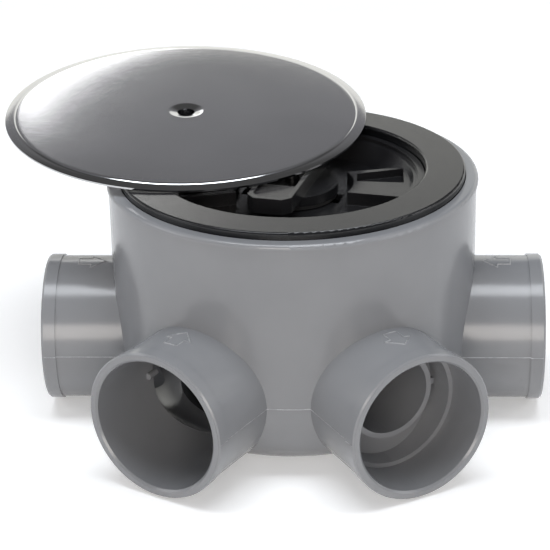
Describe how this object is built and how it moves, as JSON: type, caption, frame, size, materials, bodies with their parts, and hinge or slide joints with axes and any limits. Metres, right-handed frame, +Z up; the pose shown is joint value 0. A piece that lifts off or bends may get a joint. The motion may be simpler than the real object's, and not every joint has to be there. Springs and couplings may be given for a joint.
{
  "type": "floor trap",
  "caption": "Round grey floor trap with pipe sockets around its drum, a black ring and trap cup in its mouth, a turning access plug and a loose steel cover.",
  "frame": {"origin": "centre of the drum's flat base", "axes": "+Z up along the drum's axis, +X along one inlet; the outlet points 300 degrees round from +X"},
  "size_m": [0.1693, 0.1703, 0.0864],
  "materials": {
    "pvc_grey": "satin grey PVC",
    "black_plastic": "semi-gloss black",
    "rubber": "matt black",
    "steel": "brushed stainless"
  },
  "bodies": {
    "base": {"body": "pvc_grey", "outlet_elbow": "pvc_grey", "outlet_seal": "rubber", "frame_ring": "black_plastic", "frame_seal": "rubber", "cup_seal": "rubber", "trap_cup": "black_plastic", "cover": "steel"},
    "plug": {"access_plug": "black_plastic", "plug_seal": "rubber"}
  },
  "joints": [
    {"name": "plug_turn", "type": "hinge", "parent": "base", "child": "plug", "pos_m": [0, 0, 0.068], "axis": [0, 0, 1], "range_deg": [0, 90]}
  ]
}
